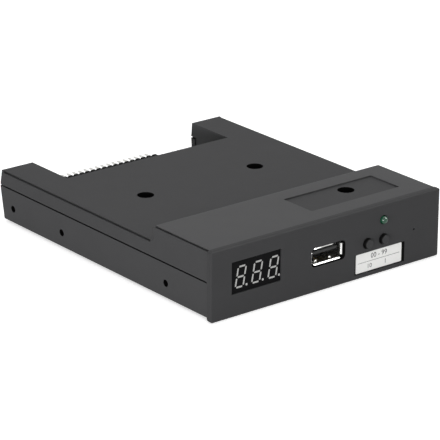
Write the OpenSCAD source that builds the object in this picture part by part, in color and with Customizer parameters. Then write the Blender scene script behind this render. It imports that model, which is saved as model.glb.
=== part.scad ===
// Floppy drive emulator for a 3.5 inch bay. Lengths are in millimetres.
// In the modules y runs back from the bezel's front face, and z up from the bezel's lower edge.
// The module in_frame() then centres the unit along y.

/* [Bezel] */
// Width of the bezel
bezel_w = 101.6; // [101:0.1:103]
// Height of the bezel
bezel_h = 25.4; // [25.3:0.1:26.4]
// Thickness of the bezel plate
bezel_t = 2.2; // [2:0.1:2.6]
// Radius of the bezel's four corners, seen from the front
bezel_corner_r = 1.5; // [0.8:0.1:2]
// Radius of the bezel's upper front edge
bezel_top_r = 1; // [0.8:0.1:1.5]
// Radius of the bezel's other front edges
bezel_edge_r = 0.9; // [0.4:0.1:1.2]
// How far the bezel stands out beside the case
side_lip = 0.3; // [0.2:0.05:0.5]
// How far the bezel stands out above the raised top
upper_lip = 0.1; // [0.05:0.05:0.4]
// How far the bezel reaches below the case
lower_lip = 1; // [0.6:0.05:1.2]

/* [Case] */
// Bezel front to the rear of the case, at the parting line
case_depth = 123.1; // [121.5:0.1:126]
// Height of the main top above the bezel's lower edge
main_top_z = 19.6; // [19:0.05:20.2]
// Height of the parting line
part_z = 13.7; // [12.9:0.1:14]
// Gap at the parting line
part_gap = 0.45; // [0.3:0.05:0.5]
// Thickness of the case walls
wall = 2; // [1.8:0.1:2.2]
// Thickness of the floor
floor_t = 2; // [1.6:0.1:2.4]
// Thickness of the roof
roof_t = 2; // [1.6:0.1:2.2]
// How far the upper shell's walls lean in by their top
upper_draft = 0.5; // [0.3:0.05:0.6]
// How far the lower shell's walls lean in by their bottom
lower_draft = 0.85; // [0.5:0.05:0.9]
// Rear of the raised front section
step_y = 32.3; // [30.5:0.1:33]
// Radius of the raised section's rear edge
step_r = 1.5; // [1:0.1:2]
// Height of the shadow slot under the main top's side edges
main_slot_h = 0.6; // [0.6:0.05:0.9]
// Height of the shadow slot under the raised top's side edges
raised_slot_h = 0.45; // [0.3:0.05:0.6]
// Depth of the shadow slots
slot_d = 1; // [0.8:0.05:1.2]
// Thickness of the roof's edge above the slot
slot_cover = 0.3; // [0.2:0.05:0.4]
// How far the roof's edge stands back there
slot_inset = 0.4; // [0.3:0.05:0.5]

/* [Pocket in the raised section] */
// Width of the pocket
pocket_w = 39.85; // [38:0.1:41]
// Length of the pocket
pocket_l = 14.9; // [14:0.1:15.2]
// Depth of the pocket
pocket_d = 0.55; // [0.4:0.05:0.8]
// Middle of the pocket across the case
pocket_x = 20.2; // [20:0.05:21.5]
// Front edge of the pocket
pocket_y = 9.6; // [9.5:0.1:11]

/* [Rear bay] */
// Width of the prong at each side of the bay
prong_w = 13.9; // [13.4:0.05:14.2]
// Length of the bay
bay_l = 22.2; // [22:0.1:24]
// Rear end of the case to the rear end of the tray under the connectors
tray_in = 9.8; // [9.4:0.1:10]
// How far the upper shell's walls reach below the parting line along the bay
curtain_h = 3.4; // [3:0.1:3.6]
// Thickness of those walls
curtain_t = 1.2; // [1:0.1:1.3]
// How far the lower shell's rear walls stand into the bay
bay_lip = 0.4; // [0.2:0.05:0.5]

/* [Mounting holes] */
// Diameter of the side and bottom screw holes
mount_hole_d = 2.5; // [2.4:0.05:2.8]
// Height of the side holes above the case floor's underside
side_hole_h = 5.4; // [5.2:0.1:5.6]
// Bezel front to the first side hole
side_hole_y = 25.4; // [25:0.1:27]
// Rear end of the case to the last side hole
side_hole_in = 7.2; // [6.8:0.1:7.4]
// Second to third side hole
side_pitch = 30.2; // [29.5:0.1:30.4]
// Depth of the side holes
side_hole_depth = 7.6; // [7:0.1:8]
// Lower edge of the case's side to the bottom holes
base_hole_in = 3.85; // [3.7:0.05:4.2]
// Bezel front to the first bottom hole
base_hole_y = 41; // [40:0.1:42]
// Rear end of the case to the last bottom hole
base_hole_rear = 22.1; // [21.5:0.1:22.6]
// Depth of the bottom holes
base_hole_depth = 6; // [5:0.1:6.5]
// Diameter of the pads around the bottom holes
base_pad_d = 4.4; // [4.2:0.1:4.8]

/* [Case screws] */
// Distance between the case screws across the case
screw_pitch_x = 49.4; // [49:0.1:50]
// Distance between the case screws along the case
screw_pitch_y = 50; // [49.5:0.1:50.5]
// Middle of the case screws across the case
screw_x = -0.4; // [-0.5:0.1:0.4]
// Bezel front to the front screw
screw_y = 19.6; // [19.5:0.1:20.5]
// Diameter of the access holes
access_d = 6; // [5.8:0.1:6.4]
// Diameter of the posts in the upper shell
post_d = 8.6; // [8.2:0.1:9]
// Height of the screw head's seat above the board
seat_h = 2; // [1.6:0.1:2.4]
// Shank diameter
screw_d = 2.9; // [2.8:0.05:3]
// Head diameter
screw_head_d = 5.4; // [5.2:0.1:5.6]
// Head height
screw_head_h = 2; // [1.8:0.1:2.2]
// Gap between the tip of a case screw and the floor
screw_tip = 0.25; // [0.2:0.05:0.6]

/* [Main board] */
// How far the board's upper face lies below the bezel's middle
board_drop = 3.3; // [3.2:0.1:3.5]
// Board thickness
board_t = 1.6; // [1.4:0.1:1.7]
// Gap between the board and the bosses of the side holes
board_gap = 0.6; // [0.3:0.1:1.6]
// Bezel front to the board's front edge
board_y = 3.6; // [3.4:0.1:3.8]

/* [Display] */
// Width of the display housing
disp_w = 20.8; // [20.6:0.1:21.4]
// Height of the display housing
disp_h = 11.1; // [10.9:0.1:11.3]
// Depth of the display housing
disp_d = 6.2; // [6:0.1:6.4]
// Left end of the bezel to the middle of the display
disp_in = 19.4; // [19:0.1:19.6]
// Middle of the display above the board
disp_rise = 4.55; // [4.4:0.05:4.7]
// How far the display's face lies behind the bezel's face
disp_sink = 0.5; // [0.3:0.1:0.8]
// Distance between digits
digit_pitch = 6.95; // [6.9:0.05:7.05]
// Height of a digit between the middles of its strokes
digit_h = 7.15; // [6.9:0.05:7.3]
// Width of a digit between the middles of its strokes
digit_w = 3.3; // [3.3:0.05:3.6]
// Width of a stroke
stroke_w = 0.6; // [0.6:0.05:0.8]
// Slant of the digits in degrees
digit_slant = 10; // [8:1:12]

/* [USB socket] */
// Width of the shell
usb_w = 13.1; // [12.9:0.1:13.3]
// Height of the shell
usb_h = 5.7; // [5.6:0.1:5.8]
// Length of the shell
usb_len = 14; // [13.6:0.1:14.4]
// Sheet thickness of the shell
usb_sheet = 0.3; // [0.25:0.05:0.35]
// Middle of the socket above the board
usb_rise = 3.4; // [3.35:0.05:3.5]
// Middle of the socket across the case
usb_x = -0.15; // [-0.5:0.05:0.5]
// Gap between the shell and the ends of the bezel's cut-out
usb_gap_x = 0.9; // [0.85:0.05:1.1]
// Gap between the shell and the long sides of the bezel's cut-out
usb_gap_z = 0.6; // [0.55:0.05:0.65]

/* [Buttons and lamp] */
// Edge of the USB cut-out to the middle of the tens button
tens_gap = 10.05; // [9.9:0.05:10.2]
// Distance between the two buttons
button_pitch = 7.3; // [7.2:0.1:7.5]
// Diameter of the plungers
plunger_d = 3.4; // [3.2:0.05:3.5]
// Gap between plunger and bezel
plunger_gap = 0.25; // [0.2:0.05:0.3]
// How far the plungers stand out of the bezel
plunger_out = 1.2; // [0.8:0.1:1.5]
// Travel of the plungers
travel = 0.25; // [0.2:0.05:0.25]
// Side of the square switch body
switch_w = 6; // [5.8:0.1:6.2]
// Lamp diameter
lamp_d = 3; // [2.9:0.05:3.1]
// How far the lamp lies left of the units button
lamp_left = 0.1; // [0:0.05:0.4]
// Height of the lamp between the switches and the roof, as a share of that room
lamp_share = 0.51; // [0.48:0.01:0.54]
// How far the lamp stands out of the bezel
lamp_out = 1.5; // [1.2:0.1:1.8]

/* [Label] */
// Width of the label recess
recess_w = 22.7; // [22.4:0.1:23]
// Middle of the buttons to the upper edge of the label recess
recess_gap = 3.25; // [3.1:0.05:3.35]
// Depth of the label recess
recess_d = 0.5; // [0.4:0.05:0.6]
// Middle of the tens button to the left edge of the label recess
recess_lead = 5.55; // [5.4:0.05:5.7]
// Lower edge of the label recess
recess_z = 1.85; // [1.7:0.05:2]
// Width of the label
label_w = 21.25; // [21:0.05:21.6]
// Gap between the label and the upper edge of its recess
label_gap = 0.2; // [0.15:0.05:0.3]
// Thickness of the label
label_t = 0.15; // [0.1:0.05:0.2]
// Pinhole diameter
pinhole_d = 0.8; // [0.6:0.1:1]
// Right end of the bezel to the pinhole
pinhole_in = 12; // [11:0.1:12]
// Height of the pinhole
pinhole_z = 12.6; // [12.2:0.1:13]

/* [Connectors] */
// Pin pitch of the interface and jumper headers
pitch = 2.54; // [2.5:0.01:2.56]
// Pins in each row of the interface header
header_count = 17; // [16:1:17]
// Left wall of the bay to the interface header, as a share of the width that the headers leave free
left_share = 0.34; // [0.32:0.01:0.37]
// Power header to the right wall of the bay, as a share of that width
right_share = 0.46; // [0.44:0.01:0.48]
// Side of a square pin
pin_w = 0.64; // [0.6:0.01:0.66]
// Length of the pins behind the block
pin_reach = 5.9; // [5.5:0.1:6.1]
// Pins of the power header
power_count = 4; // [3:1:4]
// Pin pitch of the power header
power_pitch = 2.5; // [2.4:0.05:2.6]
// Pins of the jumper header
jumper_count = 6; // [4:1:7]

/* [Hidden] */

// Facets of a round that only looks round, and of one that fits something
fine = 48;
small = 24;
// Overrun of every cut
over = 1;
// Clearance between pieces that rest on each other
seat = 0.05;
// Clearance around pieces that pass through holes
fit = 0.15;

// Planes and half widths of the case
front_out = max(plunger_out, lamp_out);
mid_y = (case_depth - front_out) / 2;
shell_y = bezel_t + seat;
half_part = bezel_w / 2 - side_lip;
half_top = half_part - upper_draft;
half_base = half_part - lower_draft;
half_in = half_base - wall;
base_z = lower_lip;
floor_z = base_z + floor_t;
high_z = bezel_h - upper_lip;
curtain_z = part_z - curtain_h;
bay_in = half_part - prong_w;
bay_y = case_depth - bay_l;
tray_y = case_depth - tray_in;
rear_in = case_depth - lower_draft - wall;
board_z = bezel_h / 2 - board_drop;
board_under = board_z - board_t;
// Ridge of the lower shell inside the upper one
ridge_t = 0.9;
ridge_h = 1.5;
ridge_y = shell_y;

// Tongues of the bezel and their catches
tongue_t = 1.5;
tongue_l = 7;
tongue_h = 8;
tongue_rise = 1.2;
tongue_z = floor_z + tongue_rise;
catch_out = 0.6;
catch_l = 2.5;
catch_back = 3.6;
catch_y = bezel_t + catch_back;

// Bosses
side_boss_w = 7;
side_boss_in = 0.8;
side_boss_top = 3.4;
side_boss_z = base_z + side_hole_h + side_boss_top;
side_holes = [side_hole_y, case_depth - side_hole_in - side_pitch, case_depth - side_hole_in];
base_hole_x = half_base - base_hole_in;
base_holes = [base_hole_y, case_depth - base_hole_rear];
board_w = 2 * (half_part - side_hole_depth - side_boss_in - board_gap);
stand_d = 7.4;
pilot_d = 2.5;
clear_d = 3.3;
screw_right = screw_x + screw_pitch_x / 2;
screw_left = screw_x - screw_pitch_x / 2;
screw_back = screw_y + screw_pitch_y;
screw_places = [[screw_right, screw_y], [screw_right, screw_back], [screw_left, screw_back]];
rest_place = [screw_left, screw_y];
seat_z = board_z + seat_h;
screw_len = seat_z - floor_z - screw_tip;

// Display
disp_x = disp_in - bezel_w / 2;
disp_z = board_z + disp_rise;
disp_rear = disp_sink + disp_d;
digit_shift = 0.5;
digit_drop = 0.2;
segment_t = 0.4;
segment_gap = 0.18;
point_d = 0.8;
point_x = 2.45;
dboard_t = 1.2;
dboard_side = 1;
dboard_w = disp_w + 2 * dboard_side;
dboard_low = 3;
dboard_high = 1.2;
dboard_y = disp_rear + seat;
dboard_rear = dboard_y + dboard_t;
lead_w = 0.5;
disp_pin_count = 6;
disp_pin_rise = 4.2;
tail = 0.5;
link_count = 5;
link_gap = 0.8;
link_y = dboard_rear + link_gap;
link_rise = 1.6;

// USB socket
usb_z = board_z + usb_rise;
usb_y = 0.8;
usb_cut_r = 1.6;
usb_cut_w = usb_w + 2 * usb_gap_x;
usb_cut_h = usb_h + 2 * usb_gap_z;
lip_out = 0.5;
lip_len = 0.8;
lip_share = 0.84;
side_lip_share = 0.7;
tongue_gap = 0.7;
tongue_w = usb_w - 2 * (usb_sheet + tongue_gap);
tongue_th = 1.84;
tongue_up = 0.1;
tongue_in = 1.6;
block_len = 5.6;
foot_len = 3.6;
foot_in = 0.25;
foot_w = tongue_w - 2 * foot_in;
contact_w = 1;
contact_t = 0.25;
contact_pitch = 2.3;
leg_w = 1.5;

// Switches and their buttons
tens_x = usb_x + usb_cut_w / 2 + tens_gap;
units_x = tens_x + button_pitch;
axis_z = board_z + seat + switch_w / 2;
cover_t = 0.3;
cover_y = 3.1;
switch_y = cover_y + cover_t + seat;
switch_d = 3.5;
well_d = 4.8;
well_depth = 2.2;
flange_d = 4.4;
flange_t = 0.7;
nub_d = 1.5;
nub_l = 0.3;
dome_d = 4.6;
dome_t = 0.12;
flange_y = switch_y;
nub_y = flange_y + flange_t + nub_l;
dome_y = nub_y + travel + seat;
well_y = switch_y + well_depth;

// Label
recess_x = tens_x - recess_lead;
recess_h = axis_z - recess_gap - recess_z;
label_in_x = 0.4;
label_in_z = 0.25;
label_x = recess_x + label_in_x;
label_z = recess_z + label_in_z;
label_h = recess_h - label_in_z - label_gap;
pinhole_x = bezel_w / 2 - pinhole_in;

// Lamp
switch_top = axis_z + switch_w / 2;
lamp_x = units_x - lamp_left;
lamp_z = switch_top + lamp_share * (high_z - roof_t - switch_top);
lamp_gap = 0.1;
lamp_flange_d = 3.8;
lamp_flange_t = 1;
lamp_flange_back = 1.4;
lamp_flange_y = bezel_t + lamp_flange_back;
lead_pitch = 2.54;
lead_bend = 3;
below = 1.4;

// Headers
header_half = header_count * pitch / 2;
power_side = 2.3;
power_body_w = (power_count - 1) * power_pitch + 2 * power_side;
free_w = 2 * (bay_in - header_half) - power_body_w;
header_x = left_share * free_w + header_half - bay_in;
power_x = bay_in - right_share * free_w - power_body_w / 2;
row_rise = 1.5;
row_z = board_z + row_rise;
block_d = 2.5;
block_in = 0.1;
block_y = tray_y - block_d - block_in;
block_h = 5.6;
block_top = board_z + block_h;
notch_w = 0.8;
pin_tip = tray_y - block_in + pin_reach;
tail_back = 1.6;
tail_y = block_y - tail_back;
power_rise = 2.7;
power_z = board_z + power_rise;
power_body_h = 3.9;
power_body_d = 4.4;
power_guide_t = 1.1;
power_guide_l = 4.4;
power_in = 0.4;
power_back_y = tray_y - power_in - power_body_d;
power_reach = 5.2;
power_tip = power_back_y + power_body_d + power_reach;
jumper_back = 3;
jumper_y = bay_y + jumper_back;
jumper_x = -1;
jumper_base_h = 2.5;
jumper_pin_h = 7.9;
jumper_cap_h = 5;
jumper_cap_d = 2.4;

// Chips: places on the board along y are shares of the distance from bezel to bay
mcu_share = 0.52;
driver_share = 0.88;
crystal_share = 0.36;
cap_shares = [0.8, 0.9];
chip_shares = [0.64, 0.68];
display_driver_share = 0.22;
mid_x = -4;
mcu_place = [mid_x, mcu_share * bay_y];
mcu_w = 10;
mcu_h = 1.4;
mcu_leads = 16;
mcu_pitch = 0.5;
mcu_lead_w = 0.22;
driver_pitch = 14;
driver_x = -5;
driver_l = 8.65;
driver_w = 3.9;
driver_h = 1.6;
driver_lead_count = 7;
display_driver_l = 11;
display_driver_leads = 8;
soic_pitch = 1.27;
soic_lead_w = 0.42;
reg_in = 6.5;
reg_place = [board_w / 2 - reg_in, driver_share * bay_y];
reg_l = 6.5;
reg_w = 3.5;
reg_lead_pitch = 2.3;
reg_lead_w = 0.7;
reg_tab_w = 3;
crystal_place = [mid_x, crystal_share * bay_y];
crystal_l = 10.6;
crystal_w = 4.4;
crystal_h = 3.4;
crystal_brim = 0.4;
crystal_pitch = 4.88;
cap_x = 16;
cap_d = 6.3;
// Room between the capacitors and the roof
cap_room = 1.45;
cap_h = main_top_z - roof_t - board_z - cap_room;
array_rows = 6;
array_pitch = 6;
array_gap = 1.4;
chip_cols = 5;
chip_pitch = 4;
chip_size = [1.6, 0.8, 0.55];
array_size = [3.2, 1.6, 0.5];
lead_t = 0.18;
lead_rise = 0.15;

driver_places = [for (s = [-1, 1]) [driver_x + s * driver_pitch / 2, driver_share * bay_y]];
cap_places = [for (k = cap_shares) [cap_x, k * bay_y]];
display_driver_place = [disp_x, display_driver_share * bay_y];

module in_frame() {
    translate([0, -mid_y, 0]) children();
}

// A box from its lowest to its highest corner
module span(low, high) {
    translate(low) cube(high - low);
}

// A block whose four walls lean: each end is [x low, x high, y low, y high, z]
function corners(r) = [[r[0], r[2], r[4]], [r[1], r[2], r[4]], [r[1], r[3], r[4]], [r[0], r[3], r[4]]];
module leaning_block(low, high) {
    polyhedron(points = concat(corners(low), corners(high)),
        faces = [[0, 1, 2, 3], [7, 6, 5, 4], [4, 5, 1, 0], [5, 6, 2, 1], [6, 7, 3, 2], [7, 4, 0, 3]]);
}

// A bar along y, from y0 to y1
module rod_y(d, y0, y1, facets = fine) {
    translate([0, y0, 0]) rotate([-90, 0, 0]) cylinder(d = d, h = y1 - y0, $fn = facets);
}

// A rectangle round a middle point with all four corners rounded
module round_rect(w, h, r) {
    square([w, h - 2 * r], center = true);
    square([w - 2 * r, h], center = true);
    for (sx = [-1, 1], sy = [-1, 1])
        translate([sx * (w / 2 - r), sy * (h / 2 - r)]) circle(r, $fn = fine);
}

// A rectangle from the origin, with a radius r on its corner at [w, h], and r_low on the one at [w, 0]
module eased_rect(w, h, r, r_low = 0) {
    difference() {
        square([w, h]);
        translate([w - r, h - r]) square([r + over, r + over]);
        if (r_low > 0) translate([w - r_low, -over]) square([r_low + over, r_low + over]);
    }
    translate([w - r, h - r]) circle(r, $fn = fine);
    if (r_low > 0) translate([w - r_low, r_low]) circle(r_low, $fn = fine);
}

// Copies on the left and the right
module both_sides() {
    for (s = [0, 1]) mirror([s, 0, 0]) children();
}

module both_sides_of(x) {
    translate([x, 0, 0]) both_sides() children();
}

// Square bars: upright from z0 to z1, and level from y0 to y1
module upright(x, y, w, z0, z1) {
    span([x - w / 2, y - w / 2, z0], [x + w / 2, y + w / 2, z1]);
}
module level(x, z, w, y0, y1) {
    span([x - w / 2, y0, z - w / 2], [x + w / 2, y1, z + w / 2]);
}

// A bent pin of square section: level from its tip at height z, then down to z_low at y_bend
module bent_pin(x, z, y_tip, y_bend, z_low, w) {
    level(x, z, w, min(y_tip, y_bend - w / 2), max(y_tip, y_bend + w / 2));
    upright(x, y_bend, w, z_low, z);
}

// Places of n things in a row of a pitch, centred on x
function row_x(n, p, x) = [for (i = [0 : n - 1]) x + (i - (n - 1) / 2) * p];

header_xs = row_x(header_count, pitch, header_x);
power_xs = row_x(power_count, power_pitch, power_x);
jumper_xs = row_x(jumper_count, pitch, jumper_x);
link_xs = row_x(link_count, pitch, disp_x);
disp_pin_xs = row_x(disp_pin_count, pitch, disp_x);
contact_xs = row_x(4, contact_pitch, usb_x);

module bottom_shell() in_frame() color("#4a4a4a") difference() {
    union() {
        difference() {
            leaning_block([-half_base, half_base, shell_y, case_depth - lower_draft, base_z],
                [-half_part, half_part, shell_y, case_depth, part_z]);
            // Hollow ahead of the bay, and in the prongs
            span([-half_in, shell_y - over, floor_z], [half_in, bay_y - wall, part_z + over]);
            both_sides()
                span([bay_in + wall, bay_y - wall - over, floor_z], [half_in, rear_in, part_z + over]);
            // Bay over the tray, and open behind it
            span([-bay_in, bay_y, floor_z], [bay_in, tray_y - wall, part_z + over]);
            span([-bay_in, bay_y - wall - over, board_under - seat], [bay_in, tray_y + over, part_z + over]);
            span([-bay_in, tray_y, -over], [bay_in, case_depth + over, part_z + over]);
            // Room for the upper shell's walls along the bay
            both_sides()
                span([bay_in - over, bay_y - wall - over, curtain_z - fit],
                    [bay_in + wall + over, rear_in, part_z + over]);
        }
        both_sides() {
            // The rear wall's end, standing a little into the bay
            span([bay_in - bay_lip, rear_in, base_z], [bay_in + wall, case_depth - lower_draft, part_z]);
            // Ridge that the upper shell drops over
            span([half_in, ridge_y, part_z - over], [half_in + ridge_t, rear_in, part_z + ridge_h]);
            for (y = side_holes)
                span([half_part - side_hole_depth - side_boss_in, y - side_boss_w / 2, floor_z - seat],
                    [half_in + seat, y + side_boss_w / 2, side_boss_z]);
            for (y = base_holes)
                translate([base_hole_x, y, 0])
                    cylinder(d = base_pad_d, h = base_hole_depth + wall, $fn = fine);
        }
        for (p = concat(screw_places, [rest_place]))
            translate([p[0], p[1], floor_z - seat])
                cylinder(d = stand_d, h = board_under - floor_z, $fn = fine);
    }
    both_sides() {
        for (y = side_holes)
            translate([half_part - side_hole_depth, y, base_z + side_hole_h]) rotate([0, 90, 0])
                cylinder(d = mount_hole_d, h = side_hole_depth + over, $fn = fine);
        for (y = base_holes)
            translate([base_hole_x, y, -over])
                cylinder(d = mount_hole_d, h = base_hole_depth + over, $fn = fine);
        // Pocket for the bezel's catch
        span([half_in - over, catch_y - fit, tongue_z - fit],
            [half_in + catch_out + fit, catch_y + catch_l + fit, tongue_z + tongue_h + fit]);
    }
    for (p = screw_places)
        translate([p[0], p[1], floor_z])
            cylinder(d = pilot_d, h = board_under, $fn = fine);
}

module top_shell() in_frame() color("#525252") difference() {
    union() {
        difference() {
            union() {
                leaning_block([-half_part, half_part, shell_y, case_depth, part_z + part_gap],
                    [-half_top, half_top, shell_y, case_depth - upper_draft, main_top_z]);
                translate([-half_top, shell_y, main_top_z - roof_t]) rotate([90, 0, 90])
                    linear_extrude(2 * half_top)
                        eased_rect(step_y - shell_y, high_z - main_top_z + roof_t, step_r);
            }
            // Hollow
            span([-half_in, shell_y - over, -over], [half_in, bay_y - wall, main_top_z - roof_t]);
            span([-half_in, shell_y - over, part_z], [half_in, step_y - wall, high_z - roof_t]);
            both_sides()
                span([bay_in + wall, bay_y - wall - over, -over], [half_in, rear_in, main_top_z - roof_t]);
            // Room for the lower shell's ridge
            both_sides()
                span([half_in - over, ridge_y - fit, part_z],
                    [half_in + ridge_t + fit, rear_in + fit, part_z + ridge_h + fit]);
            // Bay
            span([-bay_in, bay_y, -over], [bay_in, case_depth + over, main_top_z + over]);
        }
        // Walls along the bay, reaching down inside the lower shell
        both_sides()
            span([bay_in, bay_y - wall, curtain_z],
                [bay_in + curtain_t, rear_in - fit, main_top_z - roof_t / 2]);
        // Bay wall, down to the board
        span([-bay_in + fit, bay_y - wall, board_z + fit], [bay_in - fit, bay_y, main_top_z - roof_t / 2]);
        for (p = screw_places)
            translate([p[0], p[1], board_z + seat])
                cylinder(d = post_d, h = (p[1] < step_y ? high_z : main_top_z) - roof_t / 2 - board_z,
                    $fn = fine);
    }
    span([pocket_x - pocket_w / 2, pocket_y, high_z - pocket_d],
        [pocket_x + pocket_w / 2, pocket_y + pocket_l, high_z + over]);
    for (p = screw_places) translate([p[0], p[1], 0]) {
        translate([0, 0, seat_z]) cylinder(d = access_d, h = bezel_h, $fn = fine);
        cylinder(d = clear_d, h = seat_z + over, $fn = fine);
    }
    // Shadow slots under the roof's side edges
    both_sides() {
        slot(step_y + step_r, case_depth - upper_draft - slot_d, main_top_z, main_slot_h);
        slot(shell_y - over, step_y + over, high_z, raised_slot_h);
    }
}

// A groove along the right edge of a roof, and the roof's edge cut back above it
module slot(y0, y1, top, height) {
    low = top - slot_cover - height;
    span([half_top - slot_d, y0, low], [half_part + over, y1, top - slot_cover]);
    span([half_top - slot_inset, y0, low], [half_part + over, y1, top + over]);
}

module front_bezel() in_frame() color("#414141") difference() {
    union() {
        intersection() {
            translate([0, bezel_t, bezel_h / 2]) rotate([90, 0, 0])
                linear_extrude(bezel_t) round_rect(bezel_w, bezel_h, bezel_corner_r);
            translate([-bezel_w / 2, bezel_t, 0]) rotate([90, 0, 90]) linear_extrude(bezel_w)
                mirror([1, 0]) eased_rect(bezel_t, bezel_h, bezel_top_r, bezel_edge_r);
            translate([-bezel_w / 2, bezel_t, 0]) linear_extrude(bezel_h) rotate(-90)
                eased_rect(bezel_t, bezel_w, bezel_edge_r, bezel_edge_r);
        }
        both_sides() {
            span([half_in - fit - tongue_t, bezel_t - seat, tongue_z],
                [half_in - fit, bezel_t + tongue_l, tongue_z + tongue_h]);
            span([half_in - fit - seat, catch_y, tongue_z],
                [half_in - fit + catch_out, catch_y + catch_l, tongue_z + tongue_h]);
        }
    }
    span([disp_x - disp_w / 2 - fit, -over, disp_z - disp_h / 2 - fit],
        [disp_x + disp_w / 2 + fit, bezel_t + over, disp_z + disp_h / 2 + fit]);
    translate([usb_x, bezel_t + over, usb_z]) rotate([90, 0, 0])
        linear_extrude(bezel_t + 2 * over) round_rect(usb_cut_w, usb_cut_h, usb_cut_r);
    for (x = [tens_x, units_x])
        translate([x, 0, axis_z]) rod_y(plunger_d + 2 * plunger_gap, -over, bezel_t + over);
    translate([lamp_x, 0, lamp_z]) rod_y(lamp_d + 2 * lamp_gap, -over, bezel_t + over);
    translate([pinhole_x, 0, pinhole_z]) rod_y(pinhole_d, -over, bezel_t + over);
    span([recess_x, -over, recess_z], [recess_x + recess_w, recess_d, recess_z + recess_h]);
}

module selector_label() in_frame() color("white")
    span([label_x, recess_d - label_t, label_z], [label_x + label_w, recess_d, label_z + label_h]);

module case_screws() in_frame() color("#8c8c8c") for (p = screw_places)
    translate([p[0], p[1], seat_z + seat]) difference() {
        union() {
            cylinder(d = screw_head_d, h = screw_head_h, $fn = fine);
            translate([0, 0, -screw_len - seat]) cylinder(d = pilot_d - 2 * seat, h = screw_len, $fn = small);
            translate([0, 0, -seat_h - board_t])
                cylinder(d = screw_d, h = seat_h + board_t + seat, $fn = small);
        }
        // Cross slot
        for (a = [0, 90]) rotate(a)
            translate([0, 0, screw_head_h]) cube([screw_d, screw_d / 4, screw_head_h], center = true);
    }

module main_board() in_frame() color("#1f5a3a") difference() {
    union() {
        span([-board_w / 2, board_y, board_under], [board_w / 2, bay_y - wall - fit, board_z]);
        span([-bay_in + 2 * fit, bay_y - wall - over, board_under],
            [bay_in - 2 * fit, tray_y - fit, board_z]);
    }
    // Room for the display and its board, for the bezel's tongues and round the lower shell's bosses
    span([-board_w / 2 - over, 0, board_under - over],
        [disp_x + dboard_w / 2 + 2 * fit, dboard_rear + 2 * fit, board_z + over]);
    for (p = screw_places) translate([p[0], p[1], 0]) cylinder(d = clear_d, h = bezel_h, $fn = fine);
    for (x = header_xs, i = [0, 1]) pin_hole(x, tail_y - i * pitch, pin_w);
    for (x = power_xs) pin_hole(x, power_back_y + pin_w, pin_w);
    for (x = jumper_xs) pin_hole(x, jumper_y, pin_w);
    for (x = link_xs) pin_hole(x, link_y + pitch / 2, lead_w);
    for (x = row_x(2, lead_pitch, lamp_x)) pin_hole(x, lamp_flange_y + lamp_flange_t + lead_bend, lead_w);
    for (x = row_x(2, crystal_pitch, crystal_place[0])) pin_hole(x, crystal_place[1], lead_w);
    for (p = cap_places, x = row_x(2, lead_pitch, p[0])) pin_hole(x, p[1], lead_w);
    for (x = contact_xs) pin_hole(x, usb_y + usb_len + fit + contact_t / 2, contact_w);
    for (x = [tens_x, units_x], t = row_x(2, switch_w - leg_w, x))
        pin_hole(t, switch_y + switch_d - lead_w, lead_w);
    both_sides_of(usb_x) for (y = [usb_y + usb_len / 3, usb_y + 2 * usb_len / 3])
        span([usb_w / 2 - usb_sheet - seat, y - leg_w / 2 - seat, board_under - over],
            [usb_w / 2 + seat, y + leg_w / 2 + seat, board_z + over]);
}

// Square hole through the board for a pin of side w
module pin_hole(x, y, w) {
    upright(x, y, w + 2 * seat, board_under - over, board_z + over);
}

module display_board() in_frame() color("#1f5a3a") difference() {
    span([disp_x - dboard_w / 2, dboard_y, disp_z - disp_h / 2 - dboard_low],
        [disp_x + dboard_w / 2, dboard_rear, disp_z + disp_h / 2 + dboard_high]);
    for (x = disp_pin_xs, s = [-1, 1])
        wire_slot(x, disp_z + s * disp_pin_rise, lead_w);
    for (x = link_xs) wire_slot(x + pitch / 2, board_z + link_rise, lead_w);
}

// Square hole through the display board
module wire_slot(x, z, w) {
    level(x, z, w + 2 * seat, dboard_y - over, dboard_rear + over);
}

// One stroke of a digit, pointed at both ends, lying along x
module stroke(l) {
    half = (l - stroke_w) / 2 - segment_gap;
    tip = (l - stroke_w / 4) / 2 - segment_gap;
    polygon([[-half, stroke_w / 2], [half, stroke_w / 2], [tip, stroke_w / 8], [tip, -stroke_w / 8],
        [half, -stroke_w / 2], [-half, -stroke_w / 2], [-tip, -stroke_w / 8], [-tip, stroke_w / 8]]);
}

module digit() {
    // Sheared, so that upright strokes lean to the right
    multmatrix([[1, tan(digit_slant), 0, 0], [0, 1, 0, 0], [0, 0, 1, 0]]) {
        for (i = [-1, 0, 1]) translate([0, i * digit_h / 2]) stroke(digit_w);
        for (i = [-1, 1], s = [-1, 1])
            translate([s * digit_w / 2, i * digit_h / 4]) rotate(90) stroke(digit_h / 2);
    }
    translate([point_x, -digit_h / 2]) circle(d = point_d, $fn = small);
}

// The three digits, raised towards the front by h from the floor of their inlay
module digit_row(h) {
    for (x = row_x(3, digit_pitch, disp_x + digit_shift))
        translate([x, disp_sink + segment_t, disp_z - digit_drop]) rotate([90, 0, 0])
            linear_extrude(h) digit();
}

module display_housing() in_frame() color("#1c1c1c") difference() {
    span([disp_x - disp_w / 2, disp_sink, disp_z - disp_h / 2],
        [disp_x + disp_w / 2, disp_rear, disp_z + disp_h / 2]);
    digit_row(segment_t + over);
}

module display_segments() in_frame() color("#b4b4b4") digit_row(segment_t);

module display_pins() in_frame() color("#c8c8c8")
    for (x = disp_pin_xs, s = [-1, 1])
        level(x, disp_z + s * disp_pin_rise, lead_w, disp_rear, dboard_rear + tail);

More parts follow.
